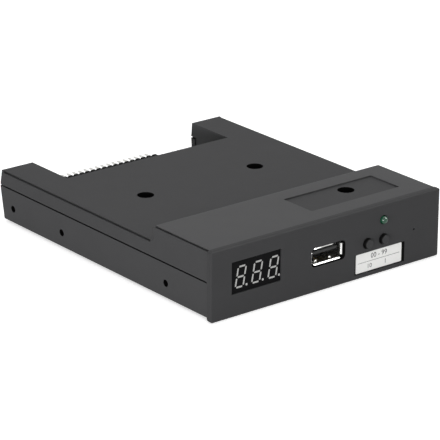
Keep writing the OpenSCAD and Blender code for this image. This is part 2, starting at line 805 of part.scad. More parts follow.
// A chip body with its upper half leaning in, lying flat with its middle at the origin
module chip_body(l, w, h) {
    lean = h / 6;
    leaning_block([-l / 2 + lean, l / 2 - lean, -w / 2 + lean, w / 2 - lean, lead_rise],
        [-l / 2, l / 2, -w / 2, w / 2, lead_rise + h / 2]);
    leaning_block([-l / 2, l / 2, -w / 2, w / 2, lead_rise + h / 2],
        [-l / 2 + lean, l / 2 - lean, -w / 2 + lean, w / 2 - lean, lead_rise + h]);
}

// One gull wing lead that leaves a chip's wall at y = 0 and height mid, and stands on z = 0
module gull_lead(mid, w, reach) {
    translate([-w / 2, 0, 0]) rotate([90, 0, 90]) linear_extrude(w)
        polygon([[0, mid], [reach / 2, mid], [reach / 2, lead_t], [reach, lead_t], [reach, 0],
            [reach / 2 - lead_t, 0], [reach / 2 - lead_t, mid - lead_t], [0, mid - lead_t]]);
}

// Leads along the two long sides, or all four
module chip_leads(l, w, h, n, p, lw, sides) {
    mid = lead_rise + (h + lead_t) / 2;
    for (a = sides) rotate(a) for (x = row_x(n, p, 0))
        translate([x, (a % 180 == 0 ? w : l) / 2 + seat / 4, 0]) gull_lead(mid, lw, w / 8 + 3 * lead_t);
}

module on_board(p) {
    in_frame() translate([p[0], p[1], board_z + seat]) children();
}

module display_driver_body() color("#262626")
    on_board(display_driver_place) chip_body(display_driver_l, driver_w, driver_h);
module display_driver_leads() color("#c8c8c8") on_board(display_driver_place)
    chip_leads(display_driver_l, driver_w, driver_h, display_driver_leads, soic_pitch, soic_lead_w, [0, 180]);

module display_link_block() in_frame() color("#1e1e1e") difference() {
    span([disp_x - link_count * pitch / 2, link_y, board_z + seat],
        [disp_x + (link_count + 1) * pitch / 2, link_y + pitch, board_z + pitch + seat]);
    for (x = link_xs) link_pin(x, lead_w + 2 * seat, 0);
}

module display_link_pins() in_frame() color("#c8c8c8")
    for (x = link_xs) link_pin(x, lead_w, board_under - below);

// Up through the block, forward, half a pitch sideways past the display's pins, and into the display board
module link_pin(x, w, low) {
    z = board_z + link_rise;
    y = link_y + pitch / 2;
    jog = link_y + lead_w / 2;
    upright(x, y, w, low, z + w / 2);
    level(x, z, w, jog - w / 2, y);
    span([x - w / 2, jog - w / 2, z - w / 2], [x + (pitch + w) / 2, jog + w / 2, z + w / 2]);
    level(x + pitch / 2, z, w, dboard_y + seat, jog);
}

module usb_shell() in_frame() color("#c9c9c9") translate([usb_x, 0, usb_z]) {
    difference() {
        span([-usb_w / 2, usb_y + lip_len, -usb_h / 2], [usb_w / 2, usb_y + usb_len, usb_h / 2]);
        span([-usb_w / 2 + usb_sheet, 0, -usb_h / 2 + usb_sheet],
            [usb_w / 2 - usb_sheet, usb_y + usb_len + over, usb_h / 2 - usb_sheet]);
        // Window for the insulator's foot
        span([-foot_w / 2 - fit, usb_y + usb_len - foot_len - fit, -usb_h],
            [foot_w / 2 + fit, usb_y + usb_len - usb_sheet, 0]);
    }
    // Flared lips
    for (s = [0, 1]) mirror([0, 0, s])
        translate([-usb_w * lip_share / 2, usb_y, usb_h / 2]) rotate([90, 0, 90])
            linear_extrude(usb_w * lip_share) lip();
    both_sides()
        translate([usb_w / 2, usb_y, -usb_h * side_lip_share / 2]) linear_extrude(usb_h * side_lip_share)
            rotate(90) mirror([0, 1]) lip();
    // Legs through the board
    both_sides() for (y = [usb_y + usb_len / 3, usb_y + 2 * usb_len / 3])
        span([usb_w / 2 - usb_sheet, y - leg_w / 2, board_under - below - usb_z],
            [usb_w / 2, y + leg_w / 2, 0]);
}

// Section of a lip: x runs along the shell, y outwards
module lip() {
    polygon([[lip_len + usb_sheet, 0], [lip_len + usb_sheet, -usb_sheet], [lip_len, -usb_sheet],
        [0, lip_out - usb_sheet], [0, lip_out], [lip_len, 0]]);
}

module usb_tongue() in_frame() color("#2b2b2b") translate([usb_x, 0, usb_z]) difference() {
    rear = usb_y + usb_len;
    union() {
        span([-tongue_w / 2, usb_y + tongue_in, tongue_up],
            [tongue_w / 2, rear - block_len + over, tongue_up + tongue_th]);
        span([-usb_w / 2 + usb_sheet + seat, rear - block_len, -usb_h / 2 + usb_sheet + seat],
            [usb_w / 2 - usb_sheet - seat, rear, usb_h / 2 - usb_sheet - seat]);
        span([-foot_w / 2, rear - foot_len, -usb_rise + seat], [foot_w / 2, rear - usb_sheet - seat, 0]);
    }
    // Channels for the contacts
    for (x = contact_xs)
        span([x - usb_x - contact_w / 2 - seat, 0, tongue_up - contact_t - seat],
            [x - usb_x + contact_w / 2 + seat, rear + over, tongue_up + seat]);
}

module usb_contacts() in_frame() color("#c9a85a") translate([0, 0, usb_z]) for (x = contact_xs) {
    rear = usb_y + usb_len + fit;
    span([x - contact_w / 2, usb_y + tongue_in + contact_w, tongue_up - contact_t],
        [x + contact_w / 2, rear + contact_t, tongue_up]);
    span([x - contact_w / 2, rear, board_under - below - usb_z],
        [x + contact_w / 2, rear + contact_t, tongue_up]);
}

module at_switch(x) {
    in_frame() translate([x, 0, axis_z]) children();
}

module switch_body(x) color("#222222") at_switch(x) difference() {
    span([-switch_w / 2 + cover_t + seat, switch_y, -switch_w / 2],
        [switch_w / 2 - cover_t - seat, switch_y + switch_d, switch_w / 2]);
    rod_y(well_d, switch_y - over, well_y);
}

module switch_cover(x) color("#bdbdbd") at_switch(x) difference() {
    span([-switch_w / 2, cover_y, -switch_w / 2], [switch_w / 2, switch_y + switch_d - leg_w, switch_w / 2]);
    span([-switch_w / 2 + cover_t, cover_y + cover_t, -switch_w],
        [switch_w / 2 - cover_t, switch_y + switch_d, switch_w]);
    rod_y(plunger_d + 2 * fit, cover_y - over, cover_y + over);
}

// A thin dished disc that clicks over when the plunger presses it
module switch_dome(x) color("#d0d0d0") at_switch(x)
    translate([0, dome_y, 0]) rotate([-90, 0, 0]) rotate_extrude($fn = fine)
        polygon([[0, 0], [dome_d / 4, dome_t], [dome_d / 2, well_y - dome_y - dome_t - seat],
            [dome_d / 2, well_y - dome_y - seat / 2], [dome_d / 4, 2 * dome_t], [0, dome_t]]);

module plunger(x) color("#3c3c3c") at_switch(x) {
    rod_y(plunger_d, -plunger_out, flange_y + flange_t);
    rod_y(flange_d, flange_y, flange_y + flange_t);
    rod_y(nub_d, flange_y + flange_t - seat, nub_y, small);
}

module tens_switch_body() switch_body(tens_x);
module tens_switch_cover() switch_cover(tens_x);
module tens_switch_dome() switch_dome(tens_x);
module tens_button() plunger(tens_x);
module units_switch_body() switch_body(units_x);
module units_switch_cover() switch_cover(units_x);
module units_switch_dome() switch_dome(units_x);
module units_button() plunger(units_x);

module switch_terminals() in_frame() color("#c8c8c8")
    for (x = [tens_x, units_x], t = row_x(2, switch_w - leg_w, x))
        span([t - lead_w / 2, switch_y + switch_d - 3 * lead_w / 2, board_under - below],
            [t + lead_w / 2, switch_y + switch_d - lead_w / 2, board_z + seat]);

module lamp_lens() in_frame() color("#1f5f46") translate([lamp_x, 0, lamp_z]) {
    rod_y(lamp_d, lamp_d / 2 - lamp_out, lamp_flange_y);
    rod_y(lamp_flange_d, lamp_flange_y, lamp_flange_y + lamp_flange_t);
    translate([0, lamp_d / 2 - lamp_out, 0]) sphere(d = lamp_d, $fn = fine);
}

module lamp_leads() in_frame() color("#c8c8c8") {
    y = lamp_flange_y + lamp_flange_t;
    for (x = row_x(2, lead_pitch, lamp_x)) bent_pin(x, lamp_z, y, y + lead_bend, board_under - below, lead_w);
}

module interface_header_block() in_frame() color("#1e1e1e") difference() {
    span([header_x - header_half, block_y, board_z + seat],
        [header_x + header_half, block_y + block_d, block_top]);
    // Castellations between the pins, above and below
    for (i = [0 : header_count], z = [board_z + seat, block_top])
        translate([header_x - header_half + i * pitch, block_y + block_d / 2, z]) rotate([0, 45, 0])
            cube([notch_w, block_d + over, notch_w], center = true);
    for (x = header_xs, i = [0, 1])
        level(x, row_z + i * pitch, pin_w + 2 * seat, block_y - over, block_y + block_d + over);
}

module interface_header_pins() in_frame() color("#bfbfbf") for (x = header_xs, i = [0, 1])
    bent_pin(x, row_z + i * pitch, pin_tip, tail_y - i * pitch, board_under - below, pin_w);

module power_header_block() in_frame() color("#e9e6dc") difference() {
    union() {
        span([power_x - power_body_w / 2, power_back_y + 2 * pin_w, board_z + seat],
            [power_x + power_body_w / 2, power_back_y + power_body_d, board_z + power_body_h]);
        for (s = [-1, 1])
            span([power_x + s * (power_body_w - power_guide_t) / 2 - power_guide_t / 2,
                    power_back_y + power_body_d - over, board_z + seat],
                [power_x + s * (power_body_w - power_guide_t) / 2 + power_guide_t / 2,
                    power_back_y + power_body_d + power_guide_l, board_z + power_body_h / 2]);
    }
    for (x = power_xs) level(x, power_z, pin_w + 2 * seat, power_back_y, case_depth);
}

module power_header_pins() in_frame() color("#d2d2d2") for (x = power_xs)
    bent_pin(x, power_z, power_tip, power_back_y + pin_w, board_under - below, pin_w);

module jumper_header_block() in_frame() color("#1e1e1e") difference() {
    span([jumper_x - jumper_count * pitch / 2, jumper_y - pitch / 2, board_z + seat],
        [jumper_x + jumper_count * pitch / 2, jumper_y + pitch / 2, board_z + jumper_base_h]);
    for (x = jumper_xs) upright(x, jumper_y, pin_w + 2 * seat, 0, bezel_h);
}

module jumper_header_pins() in_frame() color("#c9a85a")
    for (x = jumper_xs) upright(x, jumper_y, pin_w, board_under - below, board_z + jumper_pin_h);

// One cap over the first two pins and one over the last two
module jumper_caps() in_frame() color("#1b1b1b") for (k = [0, jumper_count - 2]) {
    x0 = jumper_xs[k];
    low = board_z + jumper_base_h + seat;
    difference() {
        span([x0 - jumper_cap_d / 2, jumper_y - jumper_cap_d / 2, low],
            [x0 + pitch + jumper_cap_d / 2, jumper_y + jumper_cap_d / 2, low + jumper_cap_h]);
        for (x = [x0, x0 + pitch])
            upright(x, jumper_y, pin_w + 2 * seat, 0, board_z + jumper_pin_h + seat);
    }
}

module microcontroller_body() color("#262626") on_board(mcu_place) chip_body(mcu_w, mcu_w, mcu_h);
module microcontroller_leads() color("#c8c8c8") on_board(mcu_place)
    chip_leads(mcu_w, mcu_w, mcu_h, mcu_leads, mcu_pitch, mcu_lead_w, [0, 90, 180, 270]);

module bus_driver_bodies() color("#262626") for (p = driver_places) on_board(p)
    chip_body(driver_l, driver_w, driver_h);
module bus_driver_leads() color("#c8c8c8") for (p = driver_places) on_board(p)
    chip_leads(driver_l, driver_w, driver_h, driver_lead_count, soic_pitch, soic_lead_w, [0, 180]);

module regulator_body() color("#262626") on_board(reg_place) chip_body(reg_l, reg_w, driver_h);
module regulator_leads() color("#c8c8c8") on_board(reg_place) {
    chip_leads(reg_l, reg_w, driver_h, 3, reg_lead_pitch, reg_lead_w, [0]);
    chip_leads(reg_l, reg_w, driver_h, 1, reg_lead_pitch, reg_tab_w, [180]);
}

// An oval can, from z0 up
module oval(l, w, z0, z1) {
    translate([0, 0, z0]) linear_extrude(z1 - z0) {
        square([l - w, w], center = true);
        for (s = [-1, 1]) translate([s * (l - w) / 2, 0]) circle(d = w, $fn = small);
    }
}

module crystal_can() color("#c4c4c4") on_board(crystal_place) {
    oval(crystal_l, crystal_w, 0, crystal_brim);
    oval(crystal_l - 2 * crystal_brim, crystal_w - 2 * crystal_brim, crystal_brim, crystal_h);
}

module crystal_leads() color("#c8c8c8") on_board(crystal_place)
    for (x = row_x(2, crystal_pitch, 0)) upright(x, 0, lead_w, -board_t - below, 0);

module capacitor_cans() color("#2f3d58") for (p = cap_places) on_board(p) difference() {
    cylinder(d = cap_d, h = cap_h, $fn = fine);
    // Waist of the sleeve over the crimp
    translate([0, 0, cap_h / 8]) rotate_extrude($fn = fine)
        translate([cap_d / 2 + lead_w / 4, 0]) circle(d = lead_w, $fn = small);
}

module capacitor_leads() color("#c8c8c8") for (p = cap_places) on_board(p)
    for (x = row_x(2, lead_pitch, 0)) upright(x, 0, lead_w, -board_t - below, 0);

module flat_box(size) {
    translate([-size[0] / 2, -size[1] / 2, 0]) cube(size);
}

module resistor_arrays() color("#1d1d1d") for (x = row_x(array_rows, array_pitch, header_x))
    on_board([x, bay_y - wall - array_gap]) flat_box(array_size);

module chip_parts() color("#8d7a5c")
    for (x = row_x(chip_cols, chip_pitch, mcu_place[0]), k = chip_shares)
        on_board([x, k * bay_y]) flat_box(chip_size);

bottom_shell();
top_shell();
front_bezel();
selector_label();
case_screws();
main_board();
display_board();
display_housing();
display_segments();
display_pins();
display_driver_body();
display_driver_leads();
display_link_block();
display_link_pins();
usb_shell();
usb_tongue();
usb_contacts();
tens_switch_body();
tens_switch_cover();
tens_switch_dome();
tens_button();
units_switch_body();
units_switch_cover();
units_switch_dome();
units_button();
switch_terminals();
lamp_lens();
lamp_leads();
interface_header_block();
interface_header_pins();
power_header_block();
power_header_pins();
jumper_header_block();
jumper_header_pins();
jumper_caps();
microcontroller_body();
microcontroller_leads();
bus_driver_bodies();
bus_driver_leads();
regulator_body();
regulator_leads();
crystal_can();
crystal_leads();
capacitor_cans();
capacitor_leads();
resistor_arrays();
chip_parts();
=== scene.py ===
import math

import bmesh
import bpy
from mathutils import Matrix, Vector


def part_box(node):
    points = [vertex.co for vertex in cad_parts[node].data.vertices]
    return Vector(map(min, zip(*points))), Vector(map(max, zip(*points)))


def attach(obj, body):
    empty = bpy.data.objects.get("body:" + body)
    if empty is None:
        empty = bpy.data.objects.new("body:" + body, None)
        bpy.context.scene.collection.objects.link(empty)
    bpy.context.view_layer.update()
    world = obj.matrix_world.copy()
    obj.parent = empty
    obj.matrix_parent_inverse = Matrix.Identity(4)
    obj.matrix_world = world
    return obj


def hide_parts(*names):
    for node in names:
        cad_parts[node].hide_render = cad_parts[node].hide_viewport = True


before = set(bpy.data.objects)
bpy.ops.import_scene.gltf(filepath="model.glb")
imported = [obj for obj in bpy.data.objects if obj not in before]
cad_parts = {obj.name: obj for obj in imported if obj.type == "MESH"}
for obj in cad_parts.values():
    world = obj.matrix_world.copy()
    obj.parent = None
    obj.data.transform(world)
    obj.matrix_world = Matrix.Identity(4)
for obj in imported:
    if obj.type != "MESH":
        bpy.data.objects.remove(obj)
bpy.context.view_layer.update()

# Camera
# A long lens looks down on the unit's front left corner, as a product photographer would set it up.
# Its place and turn were fitted to the photograph, with the bezel's standard size as the scale.
MM = 0.001
# The unit's own measures along y start at the bezel's front, this far before the frame's origin.
centre_y = 60.8 * MM
camera_place = Vector((-539.143 * MM, -619.264 * MM - centre_y, 332.639 * MM))
camera_yaw, camera_pitch, camera_roll = (math.radians(a) for a in (38.4734, 20.567, 0.1781))
focal_px, frame_px, sensor_mm = 2607.57, 440, 36

forward = Vector((
    math.sin(camera_yaw) * math.cos(camera_pitch),
    math.cos(camera_yaw) * math.cos(camera_pitch),
    -math.sin(camera_pitch),
))
level_right = Vector((math.cos(camera_yaw), -math.sin(camera_yaw), 0))
level_up = level_right.cross(forward)
right = level_right * math.cos(camera_roll) + level_up * math.sin(camera_roll)
up = level_up * math.cos(camera_roll) - level_right * math.sin(camera_roll)
lens = bpy.data.cameras.new("camera")
lens.sensor_width = sensor_mm
lens.lens = focal_px * sensor_mm / frame_px
lens.clip_start, lens.clip_end = 0.05, 20
camera = bpy.data.objects.new("camera", lens)
camera.matrix_world = Matrix((
    (right.x, up.x, -forward.x, camera_place.x),
    (right.y, up.y, -forward.y, camera_place.y),
    (right.z, up.z, -forward.z, camera_place.z),
    (0, 0, 0, 1),
))
scene = bpy.context.scene
scene.collection.objects.link(camera)
scene.camera = camera
scene.view_settings.view_transform = "Standard"


# Studio
# White paper under the unit, a wide soft box overhead, a long low one at the left, a weak one in front, and
# one at the front right for gloss alone. The rays that show the world or the paper see them plain white.
def linear(colour):
    """An sRGB hex colour as linear red, green, blue and alpha."""
    parts = [int(colour[i:i + 2], 16) / 255 for i in (1, 3, 5)]
    return tuple(c / 12.92 if c <= 0.04045 else ((c + 0.055) / 1.055) ** 2.4 for c in parts) + (1,)


def add(tree, kind, values={}, links={}, **settings):
    """Adds a node, with its settings, the values of its inputs, and the outputs that feed them."""
    made = tree.nodes.new("ShaderNode" + kind)
    for name, value in settings.items():
        setattr(made, name, value)
    for name, value in values.items():
        made.inputs[name].default_value = value
    for name, output in links.items():
        tree.links.new(output, made.inputs[name])
    return made


def new_material(name):
    """An empty node material and its tree."""
    material = bpy.data.materials.new(name)
    material.use_nodes = True
    material.node_tree.nodes.clear()
    return material, material.node_tree


def soft_box(name, place, size, watts, aim=(0, 0, 0.01)):
    """A rectangular lamp at a place, turned to its aim."""
    light = bpy.data.lights.new(name, "AREA")
    light.shape = "RECTANGLE"
    light.size, light.size_y = size
    light.energy = watts
    lamp = bpy.data.objects.new(name, light)
    lamp.location = place
    lamp.rotation_mode = "QUATERNION"
    lamp.rotation_quaternion = (Vector(aim) - Vector(place)).to_track_quat("-Z", "Y")
    scene.collection.objects.link(lamp)
    return lamp


def sees_white(tree):
    """1 for the rays that show the background itself: from the camera, in gloss and through glass."""
    rays = add(tree, "LightPath")
    direct = add(tree, "Math", links={0: rays.outputs["Is Camera Ray"], 1: rays.outputs["Is Glossy Ray"]},
                 operation="MAXIMUM")
    return add(tree, "Math", links={0: direct.outputs[0], 1: rays.outputs["Is Transmission Ray"]},
               operation="MAXIMUM").outputs[0]


soft_box("overhead_box", (0.1, 0.25, 1.1), (1.4, 1.4), 7)
soft_box("left_box", (-1.15, -0.7, 0.07), (0.9, 0.12), 9.5)
soft_box("front_box", (-0.24, -0.42, 0.18), (0.3, 0.25), 0.42)
soft_box("glint_box", (0.55, -0.6, 0.65), (0.57, 0.57), 10).visible_diffuse = False

world = bpy.data.worlds.new("studio")
scene.world = world
world.use_nodes = True
world.node_tree.nodes.clear()
fill = 0.27
strength = add(world.node_tree, "MapRange", {"To Min": fill, "To Max": 1.0},
               {"Value": sees_white(world.node_tree)})
background = add(world.node_tree, "Background", {"Color": (1, 1, 1, 1)}, {"Strength": strength.outputs[0]})
add(world.node_tree, "OutputWorld", links={"Surface": background.outputs[0]})

sweep = bmesh.new()
sweep_reach = 3
bmesh.ops.create_grid(sweep, x_segments=1, y_segments=1, size=sweep_reach)
sweep_mesh = bpy.data.meshes.new("sweep")
sweep.to_mesh(sweep_mesh)
sweep.free()
floor = bpy.data.objects.new("sweep", sweep_mesh)
scene.collection.objects.link(floor)
# Uncoated paper: matt and white, with enough glow of its own to show white round a soft shadow.
paper, tree = new_material("studio_paper")
paper_glow = 0.62
glow = add(tree, "Math", {1: paper_glow}, {0: sees_white(tree)}, operation="MULTIPLY")
surface = add(tree, "BsdfPrincipled", {"Base Color": linear("#f4f4f4"), "Roughness": 0.9,
              "Emission Color": (1, 1, 1, 1)}, {"Emission Strength": glow.outputs[0]})
add(tree, "OutputMaterial", links={"Surface": surface.outputs[0]})
floor.data.materials.append(paper)


# Lower shell
# The tray that carries the board, injection moulded in black ABS and drafted towards its bottom.
# It stands on four pads, and the drive cage's screws go into its pads and its side bosses.
def moulded(name, colour, roughness, grain, depth, gloss=0.5, mottle=0.05):
    """A moulded plastic: its colour a little uneven, and its skin grained as the mould is."""
    cloud_size, sheen_swing = 8 * MM, 0.06
    material, tree = new_material(name)
    place = add(tree, "TexCoord").outputs["Object"]
    cloud = add(tree, "TexNoise", {"Scale": 1 / cloud_size, "Detail": 3}, {"Vector": place})
    skin = add(tree, "TexNoise", {"Scale": 1 / grain, "Detail": 2}, {"Vector": place})
    tone = add(tree, "MapRange", {"To Min": 1 - mottle, "To Max": 1 + mottle},
               {"Value": cloud.outputs["Fac"]})
    tint = add(tree, "HueSaturation", {"Color": linear(colour)}, {"Value": tone.outputs[0]})
    sheen = add(tree, "MapRange", {"To Min": roughness - sheen_swing, "To Max": roughness + sheen_swing},
                {"Value": skin.outputs["Fac"]})
    bump = add(tree, "Bump", {"Strength": 1, "Distance": depth}, {"Height": skin.outputs["Fac"]})
    surface = add(tree, "BsdfPrincipled", {"IOR": 1.53, "Specular IOR Level": gloss}, {
        "Base Color": tint.outputs[0], "Roughness": sheen.outputs[0], "Normal": bump.outputs[0]})
    add(tree, "OutputMaterial", links={"Surface": surface.outputs[0]})
    return material


def clean_copy(node):
    """The CAD node's shape with its loose triangles merged and its flat faces whole."""
    weld, flat = 0.003 * MM, math.radians(0.6)
    shape = bmesh.new()
    shape.from_mesh(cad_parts[node].data)
    bmesh.ops.remove_doubles(shape, verts=shape.verts, dist=weld)
    bmesh.ops.dissolve_limit(shape, angle_limit=flat, verts=shape.verts, edges=shape.edges)
    return shape


# Edges that turn by more than this stay sharp, or are rounded where a piece's edges are eased.
crease = math.radians(38)


def place_piece(shape, name, materials, body="drive", stands_for=()):
    """Makes the piece, smooth but for its sharp edges, and rides it on its body."""
    for face in shape.faces:
        face.smooth = True
    for edge in shape.edges:
        edge.smooth = edge.is_manifold and edge.calc_face_angle(0) < crease
    mesh = bpy.data.meshes.new(name)
    shape.to_mesh(mesh)
    shape.free()
    piece = bpy.data.objects.new(name, mesh)
    scene.collection.objects.link(piece)
    for material in materials:
        mesh.materials.append(material)
    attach(piece, body)
    if stands_for:
        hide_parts(*stands_for)
    return piece


def block(shape, size, middle):
    """Adds a box of a size round its middle."""
    bmesh.ops.create_cube(shape, size=1,
                          matrix=Matrix.Translation(middle) @ Matrix.Diagonal((*size, 1)))


def paint_gap_shade(shape, height, reach):
    """Paints shade on the level faces within reach of a parting line's height, by giving them the second
    material.
    """
    for face in shape.faces:
        if abs(face.normal.z) > 0.9 and abs(face.calc_center_median().z - height) < reach:
            face.material_index = 1


def paint_bore_shade(shape, bores, axis):
    """Paints shade on the walls of the round holes at (middle, radius) along an axis: the second material.
    """
    for face in shape.faces:
        for middle, radius in bores:
            away = face.calc_center_median() - Vector(middle)
            away[axis] = 0
            if abs(face.normal[axis]) < 0.5 and away.length < radius:
                face.material_index = 1


def ease_edges(piece, radius, segments=2):
    """Rounds the sharp edges of a moulded or stamped piece by a small radius."""
    easing = piece.modifiers.new("eased_edges", "BEVEL")
    easing.width = radius
    easing.segments = segments
    easing.limit_method = "ANGLE"
    easing.angle_limit = crease
    easing.use_clamp_overlap = False
    easing.harden_normals = True


# Black ABS from a spark eroded mould: an even satin black that greys where the light rakes it.
# Its grain is drawn 0.3 mm wide, coarser than a mould's, so that it shows. So are the other grains below.
case_abs = moulded("spark_grained_abs", "#404041", 0.65, 0.3 * MM, 0.012 * MM, gloss=0.1)
# Painted shade: a near-black ABS painted into the bores and gaps and on the ridges, where the light would
# not reach.
painted_shade_abs = moulded("painted_shade_abs", "#0c0c0c", 0.4, 0.3 * MM, 0.001 * MM, gloss=0.05)
parting_z, gap_reach, shell_ease = 13.7 * MM, 0.35 * MM, 0.12 * MM
side_hole_ys, side_hole_z, side_hole_r = (25.4, 85.7, 115.9), 6.4 * MM, 1.4 * MM
ridge_size, ridge_x, ridge_y = Vector((13.2, 2.55, 1)) * MM, 43.7 * MM, 121.575 * MM - centre_y
tray = clean_copy("bottom_shell")
# The side holes' walls are painted black as shade.
paint_bore_shade(tray, [((0, y * MM - centre_y, side_hole_z), side_hole_r) for y in side_hole_ys], 0)
# A ridge inside each rear corner laps the parting line, so that no light comes through its gap. It is
# painted black as shade.
tray_faces = set(tray.faces)
for side in (-1, 1):
    block(tray, ridge_size, (side * ridge_x, ridge_y, parting_z))
for face in set(tray.faces) - tray_faces:
    face.material_index = 1
# The faces in the parting gap are painted black as shade.
paint_gap_shade(tray, parting_z, gap_reach)
lower = place_piece(tray, "lower_shell_moulding", [case_abs, painted_shade_abs],
                    stands_for=["bottom_shell"])
ease_edges(lower, shell_ease)

# Upper shell
# The cover that drops over the lower shell's ridge, moulded in the same ABS and held by three screws.
# Its raised front has a finer grain and a painted lighter top; the pocket in it stays as coarse and dark as
# the rest.

# ABS from a finer eroded part of the mould with a little more sheen, its colour painted a shade lighter as
# painted light.
raised_abs_painted_light = moulded("fine_grained_abs_painted_light", "#4b4b4c", 0.6, 0.2 * MM, 0.008 * MM, gloss=0.12)
cover = clean_copy("top_shell")
raised_z, pocket_z = 19.7 * MM, 25.0 * MM
access_places, access_r = ((24.3, 19.6), (24.3, 69.6), (-25.1, 69.6)), 3.1 * MM
# Painted light: the raised faces that look up or forward take the lighter ABS, but for the pocket's floor.
for face in cover.faces:
    middle = face.calc_center_median()
    pocket_floor = face.normal.z > 0.9 and middle.z < pocket_z
    faces_up = face.normal.z > 0.1 or face.normal.y > 0.5
    face.material_index = 2 * int(middle.z > raised_z and faces_up and not pocket_floor)
# The faces in the parting gap and the walls of the screw access holes are painted black as shade.
paint_gap_shade(cover, parting_z, gap_reach)
paint_bore_shade(cover, [((x * MM, y * MM - centre_y, 0), access_r) for x, y in access_places], 2)
upper = place_piece(cover, "upper_shell_moulding", [case_abs, painted_shade_abs, raised_abs_painted_light],
                    stands_for=["top_shell"])
ease_edges(upper, shell_ease)

# Bezel
# The front plate, moulded in ABS from a smoother mould, and clipped into the lower shell by two tongues.
# Its rim is rounded, and its cut-outs have the thin radius that the mould's inserts leave.

# ABS from a nearly smooth mould: an even black with a thin, soft sheen.
bezel_abs = moulded("satin_abs", "#3b3b3c", 0.55, 0.25 * MM, 0.004 * MM, gloss=0.08)
plate = clean_copy("front_bezel")
# The label's recess and the walls of the USB cut-out are painted black: painted shade, where little light
# reaches.
recess_middle = Vector((23.15 * MM, 0.28 * MM - centre_y, 5.5 * MM))
recess_reach = Vector((11.45, 0.27, 3.8)) * MM
cut_out_x, cut_out_z, cut_out_reach_x, cut_out_reach_z = -0.15 * MM, 12.8 * MM, 7.7 * MM, 3.7 * MM
for face in plate.faces:
    middle = face.calc_center_median()
    away = middle - recess_middle
    in_recess = all(abs(away[k]) < recess_reach[k] for k in range(3))
    in_cut_out = (abs(face.normal.y) < 0.5 and abs(middle.x - cut_out_x) < cut_out_reach_x
                  and abs(middle.z - cut_out_z) < cut_out_reach_z)
    face.material_index = int(in_recess or in_cut_out)
front = place_piece(plate, "front_bezel_moulding", [bezel_abs, painted_shade_abs],
                    stands_for=["front_bezel"])
bezel_ease = 0.1 * MM
ease_edges(front, bezel_ease)


# Case screws
# Three self-tapping pan head screws, cold formed from steel and zinc plated.
# They lie at the bottom of the deep holes and hold the shells and the board together.
def plated(name, colour, roughness, grain, depth, worn=0.08):
    """A plated metal: its shine broken by the fine marks that forming and handling leave."""
    cloud_size, shine_swing = 1.5 * MM, 0.3
    material, tree = new_material(name)
    place = add(tree, "TexCoord").outputs["Object"]
    cloud = add(tree, "TexNoise", {"Scale": 1 / cloud_size, "Detail": 4}, {"Vector": place})
    marks = add(tree, "TexNoise", {"Scale": 1 / grain, "Detail": 3}, {"Vector": place})
    tone = add(tree, "MapRange", {"To Min": 1 - worn, "To Max": 1 + worn}, {"Value": cloud.outputs["Fac"]})
    tint = add(tree, "HueSaturation", {"Color": linear(colour)}, {"Value": tone.outputs[0]})
    shine = add(tree, "MapRange",
                {"To Min": roughness * (1 - shine_swing), "To Max": roughness * (1 + shine_swing)},
                {"Value": marks.outputs["Fac"]})
    bump = add(tree, "Bump", {"Strength": 1, "Distance": depth}, {"Height": marks.outputs["Fac"]})
    surface = add(tree, "BsdfPrincipled", {"Metallic": 1}, {
        "Base Color": tint.outputs[0], "Roughness": shine.outputs[0], "Normal": bump.outputs[0]})
    add(tree, "OutputMaterial", links={"Surface": surface.outputs[0]})
    return material


# Bright zinc over steel: a cool grey with a soft, slightly cloudy shine.
zinc = plated("zinc_plated_steel", "#a9abad", 0.34, 0.15 * MM, 0.003 * MM)
screws = place_piece(clean_copy("case_screws"), "pan_head_screws", [zinc],
                     stands_for=["case_screws"])
screw_ease = 0.15 * MM
ease_edges(screws, screw_ease)


# Boards
# A two layer board of woven glass and epoxy under green solder mask lies flat in the lower shell.
# A second, upright one carries the display.
def dress(material, *nodes):
    """Gives a material to CAD nodes whose shape is shown as it is."""
    for node in nodes:
        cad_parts[node].data.materials.clear()
        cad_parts[node].data.materials.append(material)


# Solder mask over copper: a glossy deep green, with tracks that show through a shade lighter.
# They are drawn 6.3 mm apart, coarser than real ones, so that they show.
# The wave pattern's bands repeat at every tau / 20 of its scaled length.
mask, tree = new_material("solder_mask_over_copper")
place = add(tree, "TexCoord").outputs["Object"]
track_pitch, mask_rise = math.tau * MM, 0.02 * MM
tracks = add(tree, "TexWave", {"Scale": math.tau / 20 / track_pitch, "Distortion": 1.2, "Detail": 0},
             {"Vector": place}, wave_type="BANDS", bands_direction="X")
edge = add(tree, "MapRange", {"From Min": 0.55, "From Max": 0.65}, {"Value": tracks.outputs["Fac"]})
colour = add(tree, "ValToRGB", links={"Fac": edge.outputs[0]})
colour.color_ramp.elements[0].color = linear("#14432b")
colour.color_ramp.elements[1].color = linear("#2a6a43")
relief = add(tree, "Bump", {"Strength": 1, "Distance": mask_rise}, {"Height": edge.outputs[0]})
surface = add(tree, "BsdfPrincipled", {"Roughness": 0.3, "IOR": 1.55},
              {"Base Color": colour.outputs[0], "Normal": relief.outputs[0]})
add(tree, "OutputMaterial", links={"Surface": surface.outputs[0]})
dress(mask, "main_board", "display_board")


# Display
# A three digit, seven segment block: a dark housing with a printed face, whose strokes are cast in a
# milky resin that the lamps behind it light up. They are off, so the strokes show as a pale grey.
def edges_along(shape, axis):
    """The edges that run along one axis."""
    return [edge for edge in shape.edges
            if abs((edge.verts[0].co - edge.verts[1].co).normalized()[axis]) > 0.999]


housing_low, housing_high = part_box("display_housing")
housing_middle = (housing_low + housing_high) / 2
housing_corner = 0.2 * MM
housing = bmesh.new()
block(housing, housing_high - housing_low, housing_middle)
bmesh.ops.bevel(housing, geom=edges_along(housing, 1), offset=housing_corner, segments=2, profile=0.5,
                affect="EDGES", material=-1)
# Black printing ink on the housing: a flat face with next to no shine.
display_face = moulded("printed_display_face", "#0c0c0d", 0.7, 0.15 * MM, 0.002 * MM, gloss=0.04)
